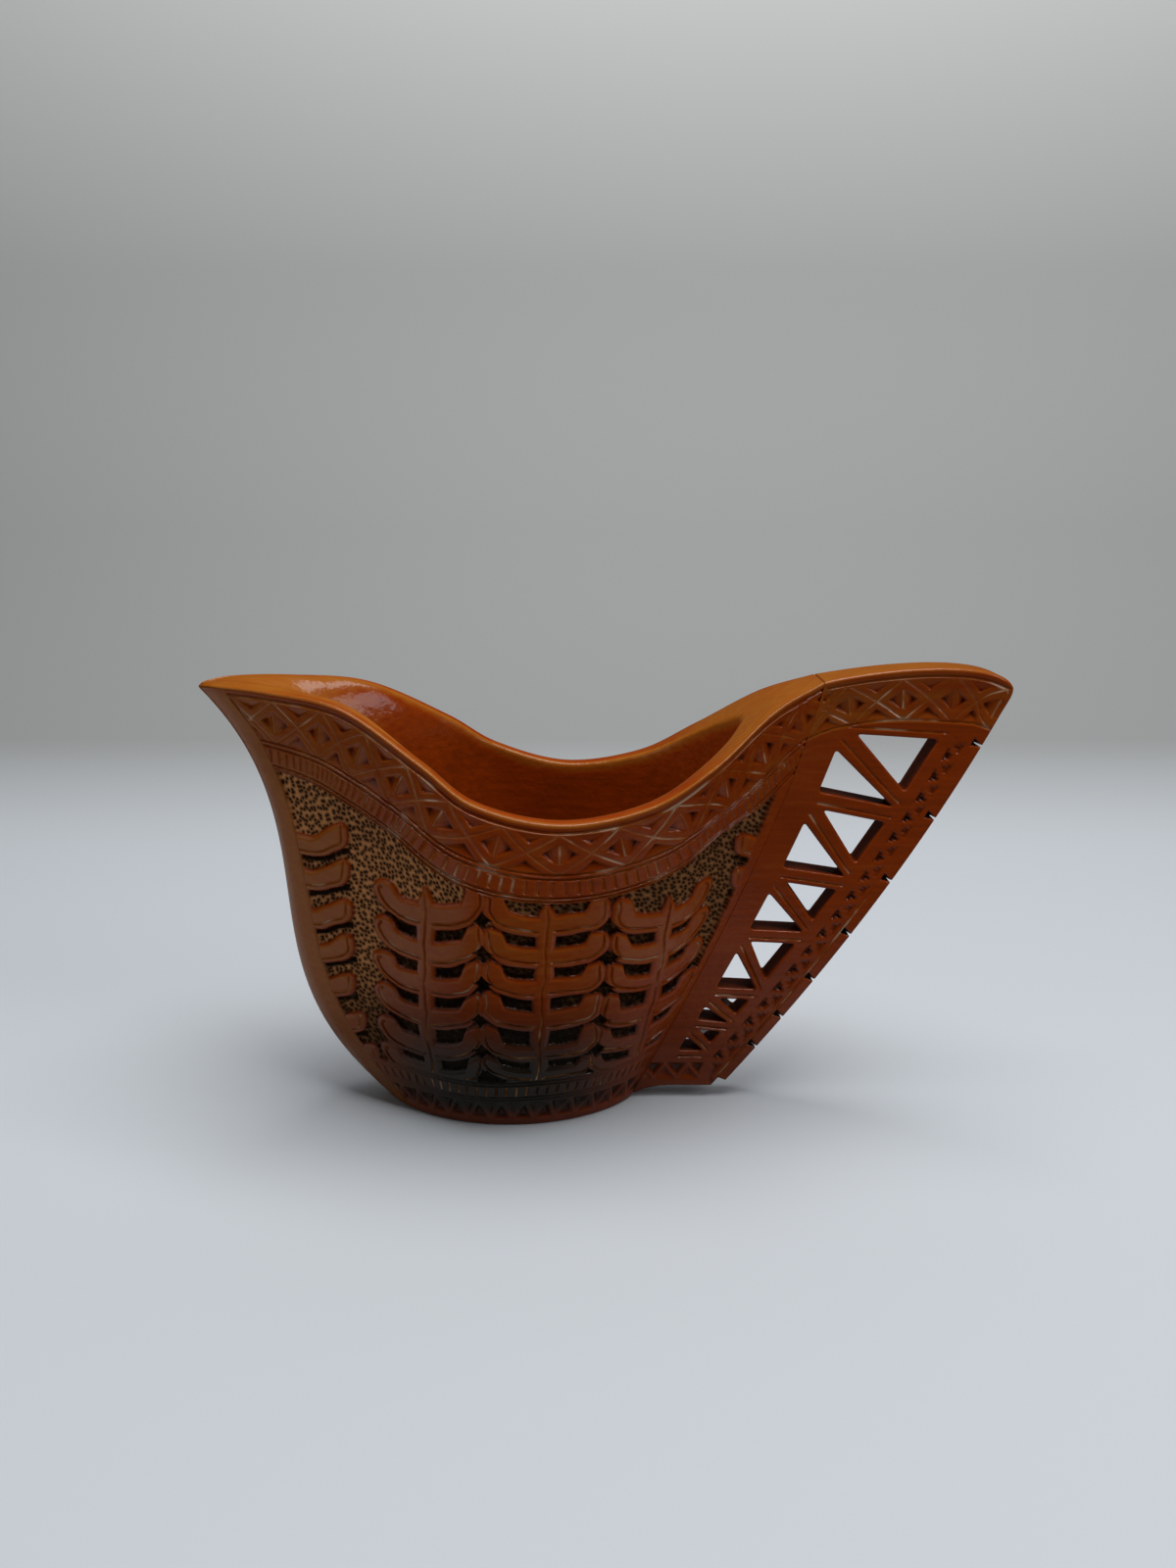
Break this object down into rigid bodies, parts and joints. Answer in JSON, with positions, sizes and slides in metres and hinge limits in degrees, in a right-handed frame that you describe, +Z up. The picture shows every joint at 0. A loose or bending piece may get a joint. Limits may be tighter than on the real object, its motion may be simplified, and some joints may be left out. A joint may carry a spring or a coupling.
{
  "type": "carved wooden cup",
  "caption": "Carved wooden drinking cup with a beaked pouring spout, a dipped rim, a flat oval foot and an openwork board handle joined along its stern.",
  "frame": {"origin": "centre of the flat oval foot, on the surface that the cup stands on", "axes": "+Z up, +X along the cup from the spout to the handle, +Y across the cup"},
  "size_m": [0.2135, 0.0724, 0.1233],
  "materials": {
    "lacquered_wood": "stained chip carving under a glossy clear lacquer"
  },
  "bodies": {
    "root": {"bowl": "lacquered_wood", "handle": "lacquered_wood"}
  },
  "joints": []
}
